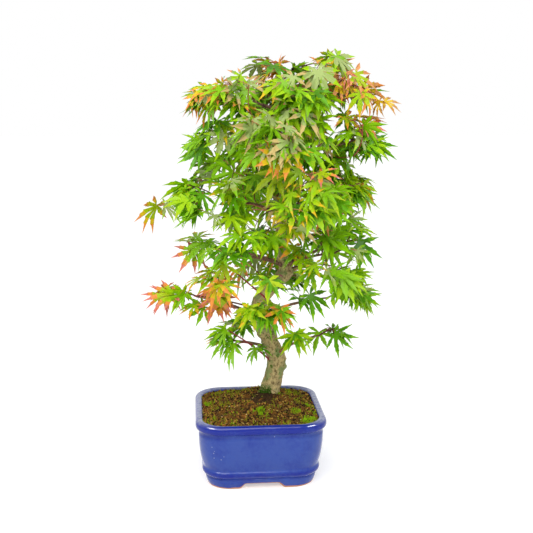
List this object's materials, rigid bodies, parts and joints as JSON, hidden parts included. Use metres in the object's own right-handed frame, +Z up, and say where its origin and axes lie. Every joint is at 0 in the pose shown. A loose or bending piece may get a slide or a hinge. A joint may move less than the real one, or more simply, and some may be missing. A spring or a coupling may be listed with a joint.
{
  "type": "potted japanese maple bonsai",
  "caption": "Bonsai maple with an S-shaped trunk and a tall column of layered, lobed foliage, in a square glazed pot on four corner feet.",
  "frame": {"origin": "on the ground under the middle of the pot", "axes": "+Z up along the tree, -Y towards its front, +X to the right seen from the front"},
  "size_m": [0.3276, 0.274, 0.55],
  "materials": {
    "glaze": "gloss",
    "soil": "matte",
    "bark": "matte",
    "twig": "satin",
    "leaf_green": "satin",
    "leaf_tinted": "satin"
  },
  "bodies": {
    "root": {"pot": "glaze", "soil": "soil", "trunk": "bark", "bough_hanging_left": "twig", "bough_high_back": "twig", "bough_high_front": "twig", "bough_high_left": "twig", "bough_high_right": "twig", "bough_low_back": "twig", "bough_low_front": "twig", "bough_low_left": "twig", "bough_low_right": "twig", "bough_middle_back": "twig", "bough_middle_front_left": "twig", "bough_middle_front_right": "twig", "bough_middle_left": "twig", "bough_middle_right": "twig", "bough_skirt_back": "twig", "bough_skirt_left": "twig", "bough_skirt_right": "twig", "bough_top_back": "twig", "bough_top_front": "twig", "bough_top_left": "twig", "bough_top_right": "twig", "bough_upper_back": "twig", "bough_upper_front": "twig", "bough_upper_left": "twig", "bough_upper_right": "twig", "foliage_cap": "leaf_tinted", "foliage_hanging_left": "leaf_green", "foliage_high_back": "leaf_green", "foliage_high_front": "leaf_green", "foliage_high_left": "leaf_green", "foliage_high_right": "leaf_green", "foliage_left_tip": "leaf_tinted", "foliage_low_back": "leaf_green", "foliage_low_front": "leaf_green", "foliage_low_left": "leaf_green", "foliage_low_right": "leaf_green", "foliage_middle_back": "leaf_green", "foliage_middle_front_left": "leaf_green", "foliage_middle_front_right": "leaf_green", "foliage_middle_left": "leaf_green", "foliage_middle_right": "leaf_green", "foliage_right_tip": "leaf_tinted", "foliage_skirt_back": "leaf_green", "foliage_skirt_left": "leaf_green", "foliage_skirt_right": "leaf_green", "foliage_top_back": "leaf_green", "foliage_top_front": "leaf_green", "foliage_top_left": "leaf_green", "foliage_top_right": "leaf_green", "foliage_upper_back": "leaf_green", "foliage_upper_front": "leaf_green", "foliage_upper_left": "leaf_green", "foliage_upper_right": "leaf_green"}
  },
  "joints": []
}
